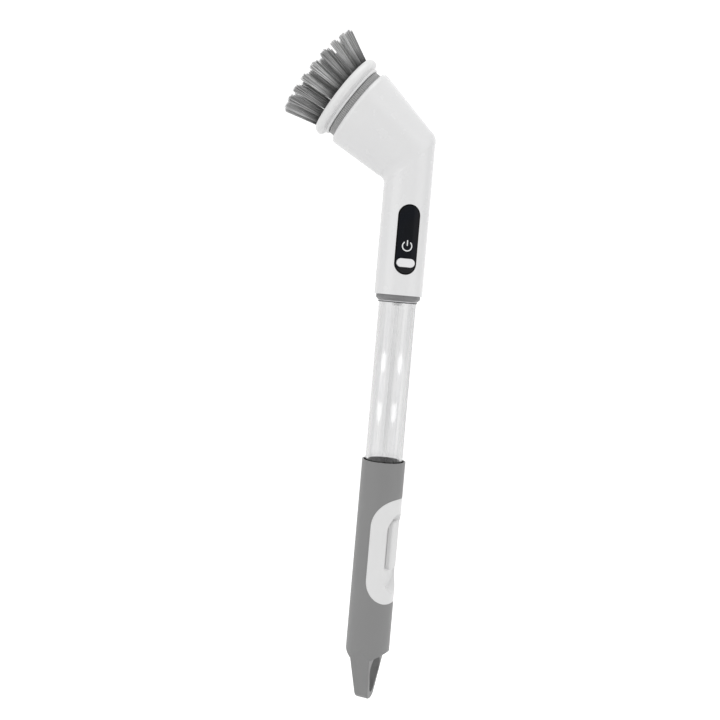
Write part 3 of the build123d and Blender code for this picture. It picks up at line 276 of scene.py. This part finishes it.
def clear_finish(name, tint, streak, ior, rough, flow_depth_mm, skin_mm=None):
    """Clear moulded plastic or rubber: glass whose colour is what a wall lets through, with soft flow
    lines along the handle that waver its tint and roughness. Within skin_mm from the handle's axis the
    surface has no tint, so that a wall seen edge on is as gray as the middle. Light from the lamps
    passes straight through it."""
    material, tree, output = start_material(name)
    place = add_node(tree, "ShaderNodeTexCoord").outputs["Object"]
    drawn = add_node(tree, "ShaderNodeMapping", {"Vector": place, "Scale": (1.0, 1.0, flow_stretch)})
    lines = add_node(tree, "ShaderNodeTexNoise", {
        "Vector": drawn.outputs[0], "Scale": 1 / (flow_mm * MM), "Detail": 0.5})
    rough_lines = add_node(tree, "ShaderNodeMapRange", {
        "Value": lines.outputs[0], "To Min": rough * 0.5, "To Max": rough * 1.5})
    bump = add_node(tree, "ShaderNodeBump", {
        "Height": lines.outputs[0], "Distance": flow_depth_mm * MM, "Strength": 1.0})
    banded = add_node(tree, "ShaderNodeMapRange", {
        "Value": lines.outputs[0], "From Min": flow_low, "From Max": flow_high})
    colour = add_node(tree, "ShaderNodeMix", {
        0: banded.outputs[0], 6: linear(streak), 7: linear(tint)}, data_type="RGBA")
    if skin_mm:
        colour = add_node(tree, "ShaderNodeMix", {
            0: beyond_radius(tree, place, skin_mm), 6: linear("#FFFFFF"), 7: colour.outputs[2]},
                          data_type="RGBA")
    shader = add_node(tree, "ShaderNodeBsdfPrincipled", {
        "Base Color": colour.outputs[2], "Roughness": rough_lines.outputs[0], "IOR": ior,
        "Transmission Weight": 1.0, "Normal": bump.outputs[0]})
    passing = add_node(tree, "ShaderNodeBsdfTransparent", {"Color": linear(tint)})
    lamp_ray = add_node(tree, "ShaderNodeLightPath").outputs["Is Shadow Ray"]
    mixed = add_node(tree, "ShaderNodeMixShader", {
        0: lamp_ray, 1: shader.outputs[0], 2: passing.outputs[0]})
    tree.links.new(mixed.outputs[0], output.inputs[0])
    return material


# clear moulded acrylic: a thick-walled tube, and a rod that all but vanishes in it
tube_acrylic = clear_finish("tube_clear_acrylic", "#D5D5D5", "#CACACB", 1.49, 0.05, 0.004, skin_mm=13.0)
rod_acrylic = clear_finish("rod_clear_acrylic", "#FFFFFF", "#FAFAFA", 1.08, 0.01, 0.002)
# clear silicone rubber, a little frosted
plug_silicone = clear_finish("plug_clear_silicone", "#F4F4F4", "#EAEAEA", 1.30, 0.12, 0.002)

# The control panel's stadium window on the neck, in millimetres
panel_turn = 9.0            # way it faces, turned about the handle from the front
panel_height = 325.2
panel_half = 8.2            # half its width, and the radius of its round ends
panel_straight = 17.7       # half the length of its straight sides
neck_face = 18.1            # the window's own radius about the handle
button_drop = 17.3          # from the window's middle down to the button's
lit_foot_drop = button_drop + 4.0   # and down to the paler foot of painted light
lit_foot_soft = 0.1             # half the height over which the foot's painted light sets in
shade_line_width, shade_line_soft = 1.0, 0.2    # the blacker line of painted shade round the edge, and its soft inner border

# polished black polycarbonate: printed black from behind with a faint blue cast, with a blacker line of
# painted shade round its edge, by the distance from the stadium's spine, and a paler foot of painted light
# below the button, by height.
panel_black, tree, output = start_material("panel_black_polycarbonate")
place = add_node(tree, "ShaderNodeTexCoord").outputs["Object"]
faced = add_node(tree, "ShaderNodeVectorRotate", {"Vector": place, "Angle": math.radians(-panel_turn)},
                 rotation_type="Z_AXIS")
parts = add_node(tree, "ShaderNodeSeparateXYZ", {0: faced.outputs[0]})
rise = add_node(tree, "ShaderNodeMath", {
    0: parts.outputs["Z"], 1: panel_height * MM}, operation="SUBTRACT")
far = add_node(tree, "ShaderNodeMath", {0: rise.outputs[0]}, operation="ABSOLUTE")
past = add_node(tree, "ShaderNodeMath", {0: far.outputs[0], 1: panel_straight * MM}, operation="SUBTRACT")
past = add_node(tree, "ShaderNodeMath", {0: past.outputs[0], 1: 0.0}, operation="MAXIMUM")
from_spine = add_node(tree, "ShaderNodeCombineXYZ", {"X": parts.outputs["X"], "Y": past.outputs[0]})
reach = add_node(tree, "ShaderNodeVectorMath", {0: from_spine.outputs[0]}, operation="LENGTH")
# painted shade: the blacker line round the window's edge
edge = add_node(tree, "ShaderNodeMapRange", {
    "Value": reach.outputs["Value"], "From Min": (panel_half - shade_line_width) * MM,
    "From Max": (panel_half - shade_line_width + shade_line_soft) * MM})
# painted light: the paler foot below the button
foot = add_node(tree, "ShaderNodeMapRange", {
    "Value": rise.outputs[0], "From Min": -(lit_foot_drop + lit_foot_soft) * MM,
    "From Max": -(lit_foot_drop - lit_foot_soft) * MM, "To Min": 1.0, "To Max": 0.0})
haze = add_node(tree, "ShaderNodeTexNoise", {"Vector": place, "Scale": 1 / (14 * MM), "Detail": 1.0})
middle = add_node(tree, "ShaderNodeMix", {0: haze.outputs[0], 6: linear("#171717"), 7: linear("#10151E")},
                  data_type="RGBA")
middle = add_node(tree, "ShaderNodeMix", {0: foot.outputs[0], 6: middle.outputs[2], 7: linear("#252527")},
                  data_type="RGBA")
shade = add_node(tree, "ShaderNodeMix", {0: edge.outputs[0], 6: middle.outputs[2], 7: linear("#040404")},
                 data_type="RGBA")
ripple = add_node(tree, "ShaderNodeTexNoise", {"Vector": place, "Scale": 1 / (8 * MM), "Detail": 2.0})
ripple_bump = add_node(tree, "ShaderNodeBump", {"Height": ripple.outputs[0], "Distance": 0.003 * MM})
shader = add_node(tree, "ShaderNodeBsdfPrincipled", {
    "Base Color": shade.outputs[2], "Roughness": 0.14, "IOR": 1.45, "Specular IOR Level": 0.10,
    "Normal": ripple_bump.outputs[0]})
tree.links.new(shader.outputs[0], output.inputs[0])

# drawn nylon filament, gray, each strand a little lighter or darker, with painted shade darkening it
# towards its root
nylon, tree, output = start_material("bristle_gray_nylon")
tone = add_node(tree, "ShaderNodeAttribute", attribute_name="tone")
rise = add_node(tree, "ShaderNodeAttribute", attribute_name="rise")
strand_colour = add_node(tree, "ShaderNodeMix", {0: tone.outputs["Fac"], 6: linear("#8A8A8A"),
                                                 7: linear("#D8D8D8")}, data_type="RGBA")
# painted shade: the strands darken towards their roots, where the shade between the crowded tufts falls
root_shade_colour = add_node(tree, "ShaderNodeMix", {0: rise.outputs["Fac"], 6: linear("#4C4C4C"),
                                               7: strand_colour.outputs[2]}, data_type="RGBA")
shader = add_node(tree, "ShaderNodeBsdfPrincipled", {
    "Base Color": root_shade_colour.outputs[2], "Roughness": 0.36, "IOR": 1.53})
tree.links.new(shader.outputs[0], output.inputs[0])

# white pad-printed ink
ink = finish_of("symbol_white_ink", "#E9EAEB", "#DFE0E1", 0.50, 3, 0.3, 0.003, IOR=1.50)

finish_by_slot = {
    "housing_white": gloss_white, "cover_gray": cover_gray, "disc_white": disc_white,
    "bristle_gray": nylon, "panel_black": panel_black, "button_white": button_white,
    "collar_gray": collar_gray, "ring_light": ring_light, "seal_dark": seal_dark,
    "clear_tube": tube_acrylic, "clear_rod": rod_acrylic, "grip_gray": satin_gray,
    "insert_white": insert_white, "slider_white": slider_white, "steel": turned_steel,
    "gear_acetal": gear_acetal, "case_gray": case_gray, "motor_steel": can_steel,
    "magnet_dark": magnet_dark, "cap_black": cap_black, "screw_steel": screw_steel,
    "bush_bronze": bush_bronze, "cell_wrap": cell_wrap, "board_green": board_green,
    "lens_white": lens_white, "flap_white": flap_rubber, "cap_clear": cap_clear,
    "hose_clear": hose_clear, "spring_steel": spring_steel}
for part in frame["record"]["subparts"]:
    node = frame["nodes"][part["node"]]
    node.data.materials.clear()
    node.data.materials.append(plug_silicone if part["node"] == "valve_plug"
                               else finish_by_slot[part["material_slot"]])


def finish_piece(piece, body, slot_name, *replaced, material=None):
    """Gives a piece its finish, by its material slot's name unless a material is given, and its body, and
    hides the nodes it stands for.
    """
    piece.data.materials.append(material or finish_by_slot[slot_name])
    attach(piece, body)
    if replaced:
        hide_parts(*replaced)
    return piece


# Bristles: tufts in four rings, each a flared bundle of thin tapered strands
tuft_rings = ((28.22, 20, 0.83), (21.22, 14, 0.624), (13.80, 9, 0.406), (5.98, 3, 0.176))
strands_in_tuft = 34
tuft_root = 1.4             # radius of a tuft at its root, in millimetres
tuft_foot = 65.7            # where the strands start along the brush's axis
tuft_length = 28.0
tuft_ragged = 0.96          # strands in a tuft's middle are shorter by up to this much
edge_ragged = 0.336         # and those at its edge by up to this much more
lean_rate = 0.0078          # the tufts lean outward by this much for each millimetre from the centre
upper_lean_rate = 0.015     # and by this much on the upper side, where they are splayed
spread_rate = 0.034         # and the strands of a tuft spread by this much for each millimetre
curl_rate = 0.008           # a strand's lean grows towards its tip by this much for each millimetre
scatter = 0.006             # standard deviation of the lean and of its growth
strand_radius = 0.27
radius_scatter = 0.12       # standard deviation of a strand's radius, as a share of it
strand_tone, tuft_tone = 0.30, 0.16     # standard deviations of a strand's shade and of its tuft's
strand_sides = 5
station_share = np.array((0.0, 0.25, 0.5, 0.72, 0.9, 0.975, 1.0))
station_taper = np.array((1.0, 1.0, 1.0, 0.98, 0.92, 0.72, 0.25))
root_shade_share = 0.5            # painted shade darkens the strands over this share of their length
rng = np.random.default_rng(11)
tuft_places = np.concatenate([
    radius * np.stack([np.cos(turn), np.sin(turn)], axis=-1)
    for radius, count, start in tuft_rings for turn in [2 * math.pi * (np.arange(count) + start) / count]])
spiral = np.arange(strands_in_tuft)
spiral_radius = tuft_root * np.sqrt((spiral + 0.5) / strands_in_tuft)
spiral_turn = spiral * math.pi * (3 - math.sqrt(5))
in_tuft = np.stack([spiral_radius * np.cos(spiral_turn), spiral_radius * np.sin(spiral_turn)], axis=-1)


def bristle_strands(places, offsets):
    """Strands in millimetres, tuft by strand by station by side. A strand starts at its tuft's place and
    its own offset. Its lean grows with both, and a little more towards the tip, so the bundle flares.
    It is a small polygon that tapers over the last tenth to a rounded tip."""
    tufts, count = len(places), len(offsets)
    base = places[:, None, :] + offsets[None]
    rate = np.where(places[:, None, :] * (1, 0) > 0, upper_lean_rate, lean_rate)
    lean = (places[:, None, :] * rate + offsets[None] * spread_rate
            + scatter * np.clip(rng.normal(0, 1, (tufts, count, 2)), -2, 2))
    curl = offsets[None] * curl_rate + scatter * np.clip(rng.normal(0, 1, (tufts, count, 2)), -2, 2)
    ragged = tuft_ragged + edge_ragged * (np.linalg.norm(offsets, axis=-1) / tuft_root) ** 2
    length = tuft_length - ragged[None] * rng.random((tufts, count))
    length /= np.sqrt(1 + (lean ** 2).sum(-1))
    along = length[..., None] * station_share
    middle = (base[:, :, None, :] + lean[:, :, None, :] * along[..., None]
              + curl[:, :, None, :] * (along * station_share)[..., None])
    turn = (2 * math.pi * np.arange(strand_sides) / strand_sides
            + rng.random((tufts, count, 1, 1)) * math.pi)
    thick = (strand_radius * (1 + radius_scatter * rng.normal(0, 1, (tufts, count, 1, 1)))
             * station_taper[:, None])
    across = middle[..., None, 0] + thick * np.cos(turn)
    side = middle[..., None, 1] + thick * np.sin(turn)
    tone = np.clip(0.5 + strand_tone * rng.normal(0, 1, (tufts, count))
                   + tuft_tone * rng.normal(0, 1, (tufts, 1)), 0, 1)
    return across, side, tuft_foot + np.broadcast_to(along[..., None], across.shape), tone


across, side, along, tone = bristle_strands(tuft_places, in_tuft)
tufts, count, stations, sides = across.shape
strand_points = on_brush(across, side, along).reshape(-1, 3)
one = grid_faces(stations, sides, False, True)
first = (np.arange(tufts * count) * stations * sides)[:, None, None]
strand_quads = (one[None] + first).reshape(-1, 4)
tip_faces = (np.arange((stations - 1) * sides, stations * sides)[None, :] + first[:, :, 0])
root_faces = (np.arange(sides)[::-1][None, :] + first[:, :, 0])
bristle_mesh = bpy.data.meshes.new("bristle_tufts")
quads = facing_out(strand_points, strand_quads)
flipped = quads[0].tolist() != strand_quads[0].tolist()
caps = np.concatenate([tip_faces, root_faces])
bristle_mesh.from_pydata(strand_points.tolist(), [],
                         quads.tolist() + (caps[:, ::-1] if flipped else caps).tolist())
bristle_mesh.shade_smooth()
bristle_mesh.attributes.new("tone", "FLOAT", "POINT").data.foreach_set(
    "value", np.repeat(tone.reshape(-1), stations * sides).astype(np.float32))
# rise carries the painted root shade: 0 at a strand's foot, 1 past the shaded share of its length
bristle_mesh.attributes.new("rise", "FLOAT", "POINT").data.foreach_set(
    "value", smooth_step((along.reshape(-1) - tuft_foot) / (root_shade_share * tuft_length)).astype(np.float32))
finish_piece(link_object("bristle_tufts", bristle_mesh), "brush_head", "bristle_gray", "bristles")

# Disc: the turned rim has the full bead, groove and second bead of the real one. The hub, spokes and drain
# holes behind it are the solid's own, drawn in to lie inside the rim.
disc_radius = 34.0
disc_face = 66.2
slice_seat = 30.5           # radius and depth of the seat that holds the tufts' slice
slice_depth = 1.0
rim_inner = 28.0
rim_lap = 0.2               # the drawn-in solid reaches this far into the rim
disc_foot = 9.9             # from the face down to the foot of the second bead
face_slack = 0.02           # faces of the bristles' solid that reach past the disc's face by more go
corner_gap = 0.001          # corners of a solid's mesh nearer to each other than this are one
rim_line = np.array((       # distance in from the disc's radius, and down from its face
    (2.7, 0.0), (2.2, 0.15), (1.3, 1.0), (0.45, 2.4), (0.1, 3.9), (0.35, 5.3), (1.3, 6.4), (2.9, 6.95),
    (4.3, 7.25), (4.75, 7.6), (4.4, 8.1), (4.2, 8.8), (4.5, 9.5), (5.3, 9.85)))


def smooth_line(corners, steps=5):
    """A line through corners in which each span is the Catmull-Rom cubic of its own two corners and their
    neighbours: (2b + (c - a)t + (2a - 5b + 4c - d)t^2 + (3b - a - 3c + d)t^3) / 2."""
    padded = np.concatenate([2 * corners[:1] - corners[1:2], corners, 2 * corners[-1:] - corners[-2:-1]])
    a, b, c, d = (padded[first:len(padded) - 3 + first, None] for first in range(4))
    t = (np.arange(steps) / steps)[None, :, None]
    spans = (2 * b + (c - a) * t + (2 * a - 5 * b + 4 * c - d) * t ** 2
             + (3 * b - a - 3 * c + d) * t ** 3) / 2
    return np.concatenate([spans.reshape(-1, corners.shape[1]), corners[-1:]])


def merged_copy(name, node):
    """A copy of a node's mesh with the corners that its triangles share merged, and its shape to edit."""
    mesh = frame["nodes"][node].data.copy()
    mesh.name = name
    mesh.materials.clear()
    shape = bmesh.new()
    shape.from_mesh(mesh)
    bmesh.ops.remove_doubles(shape, verts=shape.verts, dist=corner_gap * MM)
    return mesh, shape


def link_copy(name, mesh, shape):
    """Puts an edited shape back in its mesh and makes the object."""
    shape.to_mesh(mesh)
    shape.free()
    return link_smooth(name, mesh)


outer = smooth_line(rim_line) * (-1, -1) + (disc_radius, disc_face)
inner = np.array(((rim_inner, disc_face - disc_foot), (rim_inner, disc_face - slice_depth),
                  (slice_seat, disc_face - slice_depth), (slice_seat, disc_face)))
disc_rim = turned("disc_rim", np.concatenate([outer, inner]), on_brush, segments=256)
finish_piece(disc_rim, "brush_head", "disc_white", "brush_disc")

mesh, shape = merged_copy("disc_body", "brush_disc")
shape.to_mesh(mesh)
shape.free()
corner = np.empty(len(mesh.vertices) * 3)
mesh.vertices.foreach_get("co", corner)
offset = corner.reshape(-1, 3) - elbow
along = offset @ brush_way
radial = offset - along[:, None] * brush_way
radius = np.linalg.norm(radial, axis=-1)
lap = (rim_inner + rim_lap) * MM
beyond = radius > lap
along = np.where(beyond, np.minimum(along, (disc_face - slice_depth - rim_lap) * MM), along)
radial *= np.where(beyond, lap / np.maximum(radius, lap), 1.0)[:, None]
mesh.vertices.foreach_set("co", (elbow + radial + along[:, None] * brush_way).reshape(-1))
mesh.update()
finish_piece(link_smooth("disc_body", mesh), "brush_head", "disc_white", "brush_disc")

# The slice that the tufts stand in: the solid's own, cut off at its face, with the strands' feet closed
mesh, shape = merged_copy("tuft_slice", "bristles")
face_height = float(elbow @ brush_way) + (disc_face + face_slack) * MM
way = Vector(brush_way)
above = [face for face in shape.faces if max(vert.co.dot(way) for vert in face.verts) > face_height]
bmesh.ops.delete(shape, geom=above, context="FACES")
bmesh.ops.holes_fill(shape, edges=[edge for edge in shape.edges if edge.is_boundary], sides=0)
finish_piece(link_copy("tuft_slice", mesh, shape), "brush_head", "disc_white", "bristles")

# Return spring: the solid's own wire, with a mesh of its own
mesh, shape = merged_copy("spring_coil", "return_spring")
spring_coil = finish_piece(link_copy("spring_coil", mesh, shape), "wand", "spring_steel", "return_spring")
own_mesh(spring_coil)

# Power symbol: a broken ring and a short upright line, printed on the window
symbol_height = 320.3
ring_radius = 3.5
ring_gap = math.radians(35.0)
stroke = 0.85
line_low, line_high = 0.2, 4.4      # ends of the upright line, up from the ring's middle
ring_stations, line_stations = 97, 33
blunt = 0.02                # a line's width is that of this far from its end, so it is never nothing
ink_low, ink_high = neck_face - 0.04, neck_face + 0.05


def ink_stroke(name, across, height):
    """A printed line along points in millimetres on the window: four corners a station, carried along it.
    Half its width falls to nothing at its ends as in a circle, w * sqrt(1 - (1 - s / w)^2) for the length
    s from the end, so the ends are round."""
    way = np.stack([np.gradient(across), np.gradient(height)], axis=-1)
    way /= np.linalg.norm(way, axis=-1, keepdims=True)
    run = np.concatenate([[0], np.cumsum(np.hypot(np.diff(across), np.diff(height)))])
    from_end = np.minimum(run, run[-1] - run)
    half = stroke / 2 * np.sqrt(1 - np.clip(1 - (from_end + blunt) / (stroke / 2), 0, 1) ** 2)
    side = np.stack([-way[:, 1], way[:, 0]], axis=-1) * half[:, None]
    x = across[:, None] + side[:, :1] * (1, -1, -1, 1)
    z = height[:, None] + side[:, 1:] * (1, -1, -1, 1)
    out = np.array((ink_high, ink_high, ink_low, ink_low))
    turn = math.radians(panel_turn) + x / neck_face
    points = MM * np.stack([out * np.sin(turn), -out * np.cos(turn), z], axis=-1)
    flat, quads, ends = closed_grid(points)
    return finish_piece(new_piece(name, flat, quads, ends), "head", "button_white", material=ink)


bow = np.linspace(math.pi / 2 + ring_gap, 2.5 * math.pi - ring_gap, ring_stations)
ink_stroke("power_ring", ring_radius * np.cos(bow), symbol_height + ring_radius * np.sin(bow))
ink_stroke("power_line", np.zeros(line_stations),
           symbol_height + np.linspace(line_low, line_high, line_stations))

# Stage: pale floor that curves up into a backdrop, white to the camera and in glass and gloss
paper_glow = 0.45
stage_white, tree, output = start_material("studio_paper")
path = add_node(tree, "ShaderNodeLightPath")
seen = add_node(tree, "ShaderNodeMath", {
    0: path.outputs["Is Camera Ray"], 1: path.outputs["Is Glossy Ray"]}, operation="MAXIMUM")
seen = add_node(tree, "ShaderNodeMath", {0: seen.outputs[0], 1: path.outputs["Is Transmission Ray"]},
                operation="MAXIMUM")
glow = add_node(tree, "ShaderNodeMath", {0: seen.outputs[0], 1: paper_glow}, operation="MULTIPLY")
shader = add_node(tree, "ShaderNodeBsdfPrincipled", {
    "Base Color": linear("#EFEFEF"), "Roughness": 0.9, "Emission Color": (1, 1, 1, 1),
    "Emission Strength": glow.outputs[0]})
tree.links.new(shader.outputs[0], output.inputs[0])
stage_white.cycles.emission_sampling = "NONE"

floor_height = -0.085
floor_front, floor_back = -4.0, 1.6     # where the flat floor starts, and where it begins to curve up
bend_radius = 1.2
backdrop_top = 4.5
paper_half = 4.5                        # half the paper's width
bend = np.linspace(0, math.pi / 2, 25)
bend_line = np.stack([bend_radius * np.sin(bend), bend_radius * (1 - np.cos(bend))], axis=-1)
floor_line = np.concatenate([
    [(floor_front, floor_height)], bend_line + (floor_back, floor_height),
    [(floor_back + bend_radius, backdrop_top)]])
floor_points = np.stack(np.broadcast_arrays(
    np.array((-paper_half, paper_half)), floor_line[:, :1], floor_line[:, 1:]), axis=-1)
stage_mesh = bpy.data.meshes.new("studio_paper")
stage_mesh.from_pydata(floor_points.reshape(-1, 3).tolist(), [],
                       grid_faces(len(floor_line), 2, False, False).tolist())
stage_mesh.shade_smooth()
stage_mesh.materials.append(stage_white)
link_object("studio_paper", stage_mesh)

# Light: a pale even sky, white to the camera, and three soft boxes
sky_level = 0.74
world = bpy.data.worlds.new("studio")
bpy.context.scene.world = world
world.use_nodes = True
world.node_tree.nodes.clear()
path = add_node(world.node_tree, "ShaderNodeLightPath")
level = add_node(world.node_tree, "ShaderNodeMix", {
    0: path.outputs["Is Camera Ray"], 2: sky_level, 3: 1.0}, data_type="FLOAT")
sky = add_node(world.node_tree, "ShaderNodeBackground", {
    "Color": (1, 1, 1, 1), "Strength": level.outputs[0]})
add_node(world.node_tree, "ShaderNodeOutputWorld", {0: sky.outputs[0]})


def soft_box(name, place, target, width, height, watts):
    """A rectangular lamp at a place, facing a target."""
    data = bpy.data.lights.new(name, "AREA")
    data.shape = "RECTANGLE"
    data.size, data.size_y, data.energy = width, height, watts
    lamp = link_object(name, data)
    way = Vector(place) - Vector(target)
    lamp.matrix_world = Matrix.Translation(place) @ way.to_track_quat("Z", "Y").to_matrix().to_4x4()
    return lamp


soft_box("soft_box_left", (-1.3, -0.9, 0.7), (0, 0, 0.25), width=1.2, height=1.4, watts=5.2)
soft_box("soft_box_right", (1.4, -0.7, 0.5), (0, 0, 0.25), width=1.2, height=1.4, watts=4.1)
soft_box("soft_box_top", (0.1, -0.2, 1.7), (0, 0, 0.3), width=1.0, height=1.0, watts=4.2)
# four low narrow lamps that glint in the clear tube and light nothing else
glint_receivers = bpy.data.collections.new("glint_receivers")
glint_receivers.objects.link(frame["nodes"]["reservoir_tube"])
glint_distance = 0.8
for glint, (turn, height, aim) in enumerate(((-58, 0.178, 0.229), (46, 0.178, 0.229),
                                             (-58, 0.103, 0.192), (34, 0.103, 0.192))):
    angle = math.radians(turn)
    place = (glint_distance * math.sin(angle), -glint_distance * math.cos(angle), height)
    lamp = soft_box(f"glint_{glint}", place, (0, 0, aim), width=0.60, height=0.028, watts=0.022)
    lamp.data.shape = "ELLIPSE"
    lamp.data.spread = math.radians(50)
    lamp.light_linking.receiver_collection = glint_receivers
    lamp.visible_diffuse = False
    lamp.visible_transmission = False

view = bpy.context.scene.view_settings
view.view_transform = "Standard"
